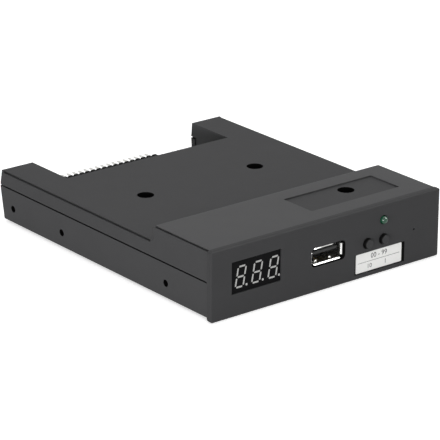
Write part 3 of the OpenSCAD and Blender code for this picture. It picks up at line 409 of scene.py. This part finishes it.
# Diffusing epoxy: smooth, pale and a little cloudy.
milky = moulded("milky_epoxy", "#b2b2b0", 0.4, 0.2 * MM, 0.002 * MM, gloss=0.3)
place_piece(housing, "display_block", [display_face], stands_for=["display_housing"])

# Digits of seven slanted strokes, each with a point at its foot. Their sizes come from the photograph.
digit_pitch, digit_shift, digit_drop, digit_slant = 6.95 * MM, 0.52 * MM, 0.2 * MM, math.radians(10)
digit_h, digit_w, stroke_w, stroke_gap = 7.15 * MM, 3.3 * MM, 0.6 * MM, 0.78 * MM
point_x, point_r, point_rise = 2.45 * MM, 0.42 * MM, 0.2 * MM
stroke_t, stroke_proud, stroke_cut = 0.1 * MM, 0.02 * MM, 0.3 * stroke_w
stroke_y, digits_z = housing_low.y + stroke_t / 2 - stroke_proud, housing_middle.z - digit_drop
digit_xs = [housing_middle.x + digit_shift + digit * digit_pitch for digit in (-1, 0, 1)]
strokes = bmesh.new()
for x in digit_xs:
    for level in (-1, 0, 1):
        block(strokes, (digit_w - stroke_gap, stroke_t, stroke_w), (x, stroke_y, level * digit_h / 2))
    for side in (-1, 1):
        for level in (-1, 1):
            block(strokes, (stroke_w, stroke_t, digit_h / 2 - stroke_gap),
                  (x + side * digit_w / 2, stroke_y, level * digit_h / 4))
bmesh.ops.bevel(strokes, geom=edges_along(strokes, 1), offset=stroke_cut, segments=1, profile=0.5,
                affect="EDGES", material=-1)
for vert in strokes.verts:
    vert.co += Vector((vert.co.z * math.tan(digit_slant), 0, digits_z))
for x in digit_xs:
    point_place = (x + point_x, stroke_y, digits_z - digit_h / 2 + point_rise)
    bmesh.ops.create_cone(
        strokes, cap_ends=True, segments=20, radius1=point_r, radius2=point_r, depth=stroke_t,
        matrix=Matrix.Translation(point_place) @ Matrix.Rotation(math.pi / 2, 4, "X"))
place_piece(strokes, "display_strokes", [milky], stands_for=["display_segments"])

# USB socket
# A shell of nickel plated steel sheet, whose mouth flares into lips, with two spring leaves and four legs.
# A black tongue inside carries the contacts, and the legs are soldered into the board.

# Bright nickel on smooth sheet: close to white, it mirrors what lies round it with a slight blur.
nickel = plated("nickel_plated_steel", "#d8d8d6", 0.2, 0.12 * MM, 0.001 * MM)
# Gold flash: a warm, slightly pale yellow.
gold = plated("gold_flash", "#a08a52", 0.38, 0.1 * MM, 0.001 * MM)
# Glass filled polyester: a hard black with a dry, fine skin.
tongue_plastic = moulded("glass_filled_polyester", "#333333", 0.55, 0.12 * MM, 0.006 * MM, gloss=0.2)
sheet, socket_w, socket_h, bend_r = 0.3 * MM, 13.1 * MM, 5.7 * MM, 0.7 * MM
# How far each lip goes along y and outwards, step by step, in millimetres. The left one is kept short.
top_lip = [(-0.3, 0.02), (-0.3, 0.05), (-0.15, 0.05)]
low_lip = [(-0.25, 0.03), (-0.25, 0.14), (-0.25, 0.28)]
left_lip, right_lip = [(-0.2, 0.02)], [(-0.2, 0.05), (-0.2, 0.15), (-0.2, 0.25)]
# How far the solid's lips reach above and ahead of the shell, and so where the shell's mouth is.
lip_rise, lip_reach = 0.5 * MM, 0.8 * MM
shell_low, shell_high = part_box("usb_shell")
socket_x = (shell_low.x + shell_high.x) / 2
socket_z = shell_high.z - lip_rise - socket_h / 2
mouth_y, leg_low = shell_low.y + lip_reach, shell_low.z
across, upward = (socket_w - sheet) / 2, (socket_h - sheet) / 2
socket = bmesh.new()
bmesh.ops.create_grid(socket, x_segments=1, y_segments=1, size=1,
                      matrix=Matrix.Translation((socket_x, mouth_y, socket_z))
                      @ Matrix.Rotation(math.pi / 2, 4, "X") @ Matrix.Diagonal((across, upward, 1, 1)))
bmesh.ops.bevel(socket, geom=socket.verts[:], offset=bend_r, segments=4, profile=0.5,
                affect="VERTICES", material=-1)
bmesh.ops.delete(socket, geom=socket.faces[:], context="FACES_ONLY")
rim = socket.edges[:]


def draw_out(shape, edges, step):
    """Draws edges out into faces by one step, and returns the new edges."""
    grown = bmesh.ops.extrude_edge_only(shape, edges=edges)["geom"]
    bmesh.ops.translate(shape, vec=step, verts=[g for g in grown if isinstance(g, bmesh.types.BMVert)])
    return [g for g in grown if isinstance(g, bmesh.types.BMEdge)]


mouth_middle = Vector((socket_x, mouth_y, socket_z))
for edge in sorted(rim, key=lambda e: e.calc_length())[-4:]:
    outward = ((edge.verts[0].co + edge.verts[1].co) / 2 - mouth_middle).normalized()
    if abs(outward.x) > 0.5:
        lip_steps = right_lip if outward.x > 0 else left_lip
    else:
        lip_steps = top_lip if outward.z > 0 else low_lip
    lip = [edge]
    for along, out in lip_steps:
        lip = draw_out(socket, lip, Vector((0, along * MM, 0)) + outward * out * MM)
draw_out(socket, rim, (0, shell_high.y - mouth_y, 0))
# Each leaf starts on the shell's floor, rises to a crown that grips a plug, and falls again.
leg_w, leaf_w, leaf_y = 1.4 * MM, 0.8 * MM, mouth_y + 1.2 * MM
leaf_steps = [(1.2, 0.45), (0.8, 0.12), (1.0, -0.1), (1.4, -0.45)]
for side in (-1, 1):
    leaf_x = socket_x + side * across / 2
    foot = [socket.verts.new((leaf_x + s * leaf_w / 2, leaf_y, socket_z - upward + sheet)) for s in (-1, 1)]
    leaf = [socket.edges.new(foot)]
    for along, rise in leaf_steps:
        leaf = draw_out(socket, leaf, (0, along * MM, rise * MM))
    for third in (1, 2):
        y = shell_low.y + third / 3 * (shell_high.y - shell_low.y)
        leg = [socket.verts.new((socket_x + side * across, y + s * leg_w / 2, leg_low)) for s in (-1, 1)]
        draw_out(socket, [socket.edges.new(leg)], (0, 0, socket_z - upward - leg_low))
bmesh.ops.recalc_face_normals(socket, faces=socket.faces)
socket = place_piece(socket, "usb_socket_shell", [nickel], stands_for=["usb_shell"])
thick = socket.modifiers.new("sheet", "SOLIDIFY")
thick.thickness = sheet
thick.offset = 0

# The tongue's front edge is cut away above, so that a plug finds its way.
tongue_piece = clean_copy("usb_tongue")
tongue_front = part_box("usb_tongue")[0].y
nose_depth, nose_above, nose_drop = 0.5 * MM, 0.5 * MM, 0.85 * MM
for vert in tongue_piece.verts:
    if vert.co.y < tongue_front + nose_depth and vert.co.z > socket_z + nose_above:
        vert.co.z -= nose_drop
place_piece(tongue_piece, "usb_socket_tongue", [tongue_plastic],
            stands_for=["usb_tongue"])
dress(gold, "usb_contacts")


# Buttons
# Two square tactile switches stand on the board behind the bezel: a black body under a folded steel
# cover, a snap dome, and a round nylon plunger that the finger presses, 0.25 mm deep.
def turned(profile, x, z, steps=40):
    """Turns a profile of (y, radius) points in millimetres round the axis through x and z."""
    weld = 0.001 * MM
    shape = bmesh.new()
    points = [shape.verts.new((x, y * MM - centre_y, z + r * MM)) for y, r in profile]
    edges = [shape.edges.new(pair) for pair in zip(points, points[1:])]
    bmesh.ops.spin(shape, geom=points + edges, cent=(x, 0, z), axis=(0, 1, 0), angle=math.tau,
                   steps=steps, use_merge=True)
    bmesh.ops.remove_doubles(shape, verts=shape.verts, dist=weld)
    bmesh.ops.recalc_face_normals(shape, faces=shape.faces)
    return shape


# Nylon from a polished mould round the sides, painted near black as shade in the gap round the plunger.
plunger_side_painted_shade = moulded("nylon_painted_shade", "#0e0e0e", 0.4, 0.2 * MM, 0.002 * MM, gloss=0.1)
# The same nylon on the front face, where the finger presses: matt, in its own dark grey.
plunger_face = moulded("matt_nylon", "#343435", 0.55, 0.2 * MM, 0.004 * MM, gloss=0.15)
# All in millimetres: the plunger, the collar behind the bezel and the nub that works the dome.
plunger_r, face_r, edge_ease = 1.7, 1.45, 0.25
collar_front, collar_back, collar_r = 3.45, 4.15, 2.2
nub_back, nub_r, nub_tip_r = 4.45, 0.75, 0.65
face_depth = 0.1 * MM
for which in ("tens", "units"):
    button_low, button_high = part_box(which + "_button")
    front_y = (button_low.y + centre_y) / MM
    eased = [(front_y + edge_ease * (1 - math.sin(a)), face_r + edge_ease * math.cos(a))
             for a in (math.radians(75), math.radians(45), math.radians(15), 0)]
    plunger = turned(
        [(front_y, 0), (front_y, face_r)] + eased + [
            (collar_front, plunger_r), (collar_front, collar_r), (collar_back, collar_r),
            (collar_back, nub_r), (nub_back, nub_tip_r), (nub_back, 0)],
        (button_low.x + button_high.x) / 2, (button_low.z + button_high.z) / 2)
    # The front face keeps the nylon's own grey, and the rest of the plunger carries the painted shade.
    for face in plunger.faces:
        at_front = face.calc_center_median().y < button_low.y + face_depth
        face.material_index = int(face.normal.y < -0.9 and at_front)
    place_piece(plunger, which + "_plunger_cap", [plunger_side_painted_shade, plunger_face], which + "_plunger",
                [which + "_button"])
# Nylon from a plain mould: a dark grey with a dull skin.
switch_nylon = moulded("switch_nylon", "#222222", 0.5, 0.2 * MM, 0.004 * MM)
dress(switch_nylon, "tens_switch_body", "units_switch_body")
dress(nickel, "tens_switch_cover", "units_switch_cover", "tens_switch_dome", "units_switch_dome")

# Lamp
# A 3 mm light emitting diode cast in green epoxy, with a dome that stands out of the bezel.
# It is cast in one piece with its flange, which rests behind the bezel.
lamp_low, lamp_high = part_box("lamp_lens")
lamp_x, lamp_z = (lamp_low.x + lamp_high.x) / 2, (lamp_low.z + lamp_high.z) / 2
# All in millimetres: the dome's radius, and the flange's radius, front and back.
lamp_r, flange_r, flange_front, flange_back = 1.5, 1.9, 3.6, 4.6
tip_y, dome_steps = (lamp_low.y + centre_y) / MM, 10
dome = [(tip_y + lamp_r * (1 - math.cos(a)), lamp_r * math.sin(a))
        for a in (math.pi / 2 * step / dome_steps for step in range(dome_steps + 1))]
bulb = turned(dome + [(flange_front, lamp_r), (flange_front, flange_r), (flange_back, flange_r),
                      (flange_back, 0)], lamp_x, lamp_z)
# Tinted epoxy: a deep green that lets little light through, with a sharp highlight.
green, tree = new_material("tinted_epoxy")
place = add(tree, "TexCoord").outputs["Object"]
haze_size = 0.6 * MM
haze = add(tree, "TexNoise", {"Scale": 1 / haze_size, "Detail": 2}, {"Vector": place})
depth = add(tree, "ValToRGB", links={"Fac": haze.outputs["Fac"]})
depth.color_ramp.elements[0].color = linear("#0a3625")
depth.color_ramp.elements[1].color = linear("#155a3d")
surface = add(tree, "BsdfPrincipled", {"Roughness": 0.05, "IOR": 1.52, "Transmission Weight": 0.15},
              {"Base Color": depth.outputs[0]})
add(tree, "OutputMaterial", links={"Surface": surface.outputs[0]})
place_piece(bulb, "lamp_bulb", [green], stands_for=["lamp_lens"])

# Label
# A white paper sticker in the recess under the buttons, printed with the range that they set and, below
# a thin line, the place that each of them steps.
label_low, label_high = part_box("selector_label")
label_margin, label_corner = 0.4 * MM, 0.3 * MM
label_low.x += label_margin
label_size, label_middle = label_high - label_low, (label_low + label_high) / 2
sticker = bmesh.new()
block(sticker, label_size, label_middle)
bmesh.ops.bevel(sticker, geom=edges_along(sticker, 1), offset=label_corner, segments=3, profile=0.5,
                affect="EDGES", material=-1)
# Coated paper: a clean, even white without gloss.
label_paper = moulded("coated_paper", "#f6f6f4", 0.6, 0.1 * MM, 0.002 * MM, gloss=0.2, mottle=0.01)
place_piece(sticker, "label_sticker", [label_paper], stands_for=["selector_label"])
# Printing ink on paper: a black that the paper's white softens to a dark grey.
ink = moulded("black_ink", "#2c2c2e", 0.5, 0.1 * MM, 0.001 * MM, gloss=0.2)
tens_x, units_x = ((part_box(n)[0].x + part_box(n)[1].x) / 2 for n in ("tens_button", "units_button"))
range_z, range_size = 7.3 * MM, 2.6 * MM
step_z, step_size, step_shift = 3.85 * MM, 2.3 * MM, 1.4 * MM
rule_z, rule_t, rule_margins, ink_t = 5.6 * MM, 0.14 * MM, 1.8 * MM, 0.01 * MM
lines = [("00 - 99", label_middle.x, range_z, range_size), ("10", tens_x + step_shift, step_z, step_size),
         ("1", units_x + step_shift, step_z, step_size)]
printing = bmesh.new()
for figures, x, z, size in lines:
    letters = bpy.data.curves.new("print", "FONT")
    letters.body = figures
    letters.size = size
    letters.align_x = "CENTER"
    letters.align_y = "CENTER"
    letters.extrude = ink_t
    letters.resolution_u = 3
    mesh = bpy.data.meshes.new_from_object(bpy.data.objects.new("print", letters))
    mesh.transform(Matrix.Translation((x, label_low.y, z)) @ Matrix.Rotation(math.pi / 2, 4, "X"))
    printing.from_mesh(mesh)
block(printing, (label_size.x - rule_margins, 2 * ink_t, rule_t), (label_middle.x, label_low.y, rule_z))
place_piece(printing, "label_print", [ink])

# Interface and power headers
# A black block holds two rows of 17 bent pins for the ribbon cable, and a white one four pins for power.
# The pins are square wire with pointed tips, soldered into the board ahead of the blocks.

# Tin over brass wire: a pale, slightly soft shine.
tin = plated("tinned_brass", "#c4c4c1", 0.35, 0.1 * MM, 0.002 * MM)


def pointed_pins(node, name, material, axis, point=0.8 * MM):
    """The node's pins with the last stretch before their tips tapered."""
    share, weld, ease = 0.35, 0.01 * MM, 0.05 * MM
    shape = clean_copy(node)
    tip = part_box(node)[1][axis]
    way = Vector([float(k == axis) for k in range(3)])
    bmesh.ops.bisect_plane(shape, geom=shape.verts[:] + shape.edges[:] + shape.faces[:],
                           plane_co=way * (tip - point), plane_no=way)
    for face in [f for f in shape.faces if abs(f.calc_center_median()[axis] - tip) < weld]:
        ends = Matrix.Translation(-face.calc_center_median())
        bmesh.ops.scale(shape, vec=(share, share, share), space=ends, verts=face.verts)
    pins = place_piece(shape, name, [material], stands_for=[node])
    ease_edges(pins, ease, 1)


pointed_pins("interface_header_pins", "interface_pins", tin, 1)
pointed_pins("power_header_pins", "power_pins", tin, 1)
pointed_pins("jumper_header_pins", "jumper_pins", gold, 2, 0.6 * MM)
# Glass filled nylon: black and dry, with next to no shine.
header_nylon = moulded("header_nylon", "#101010", 0.7, 0.15 * MM, 0.005 * MM, gloss=0.05)
dress(header_nylon, "interface_header_block", "jumper_header_block", "display_link_block")
# Nylon without dye: a warm, slightly waxy white.
natural_nylon = moulded("natural_nylon", "#e9e6dc", 0.45, 0.2 * MM, 0.004 * MM, gloss=0.4)
power_ease, cap_ease = 0.12 * MM, 0.15 * MM
power_block = place_piece(clean_copy("power_header_block"), "power_socket_block", [natural_nylon],
                          stands_for=["power_header_block"])
ease_edges(power_block, power_ease)
# Dyed nylon from a smooth mould: black with a plain shine.
cap_nylon = moulded("cap_nylon", "#1b1b1b", 0.4, 0.2 * MM, 0.003 * MM, gloss=0.4)
caps = place_piece(clean_copy("jumper_caps"), "jumper_cap_pair", [cap_nylon],
                   stands_for=["jumper_caps"])
ease_edges(caps, cap_ease)

# Solder joints
# Each pin of the two headers goes through the board, and stands in a cone of solder on a round pad.

# Solder as it sets: a bright, slightly uneven grey.
solder = plated("solder", "#c6c8ca", 0.25, 0.3 * MM, 0.01 * MM)
pin_pitch, tail_back = 2.54 * MM, 1.6 * MM
power_pitch, power_wire = 2.5 * MM, 0.64 * MM
cone_r, cone_top_r, cone_h, cone_ease = 0.8 * MM, 0.42 * MM, 0.4 * MM, 0.08 * MM
block_low, power_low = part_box("interface_header_block")[0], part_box("power_header_pins")[0]
cone_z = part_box("main_board")[1].z + cone_h / 2
joint_places = [(block_low.x + (i + 0.5) * pin_pitch, block_low.y - tail_back - row * pin_pitch)
                for i in range(17) for row in (0, 1)]
joint_places += [(power_low.x + power_wire / 2 + i * power_pitch, power_low.y + power_wire / 2)
                 for i in range(4)]
cones = bmesh.new()
for x, y in joint_places:
    bmesh.ops.create_cone(cones, cap_ends=True, segments=12, radius1=cone_r, radius2=cone_top_r,
                          depth=cone_h, matrix=Matrix.Translation((x, y, cone_z)))
solder_joints = place_piece(cones, "header_solder_joints", [solder])
ease_edges(solder_joints, cone_ease)

# Leads
# Round and square leads of tinned copper carry the chips and the display.
# They are bent or cropped to length, and soldered to the boards.
dress(tin, "display_pins", "display_driver_leads", "display_link_pins", "switch_terminals", "lamp_leads",
      "microcontroller_leads", "bus_driver_leads", "regulator_leads", "crystal_leads", "capacitor_leads")

# Chips
# Moulded epoxy chips, a crystal in a drawn can, sleeved capacitors and small ceramic parts.
# They lie on the board, soldered by their leads or ends.

# Epoxy filled with fine silica: a dull, even dark grey.
moulded_epoxy = moulded("moulded_epoxy", "#262626", 0.6, 0.1 * MM, 0.006 * MM)
dress(moulded_epoxy, "display_driver_body", "microcontroller_body", "bus_driver_bodies", "regulator_body")
# Plated steel drawn into a can: a smooth, pale shine.
drawn_can = plated("drawn_steel_can", "#c4c4c2", 0.28, 0.2 * MM, 0.002 * MM)
dress(drawn_can, "crystal_can")
# Vinyl sleeve shrunk over aluminium: a glossy dark blue.
shrunk_sleeve = moulded("shrunk_sleeve", "#2f3d58", 0.35, 0.4 * MM, 0.003 * MM)
dress(shrunk_sleeve, "capacitor_cans")
# Glaze over printed resistors: black and glassy.
film_glaze = moulded("thick_film_glaze", "#1d1d1d", 0.3, 0.1 * MM, 0.003 * MM)
dress(film_glaze, "resistor_arrays")
# Fired ceramic: a matt tan.
fired_ceramic = moulded("fired_ceramic", "#8d7a5c", 0.5, 0.1 * MM, 0.004 * MM)
dress(fired_ceramic, "chip_parts")
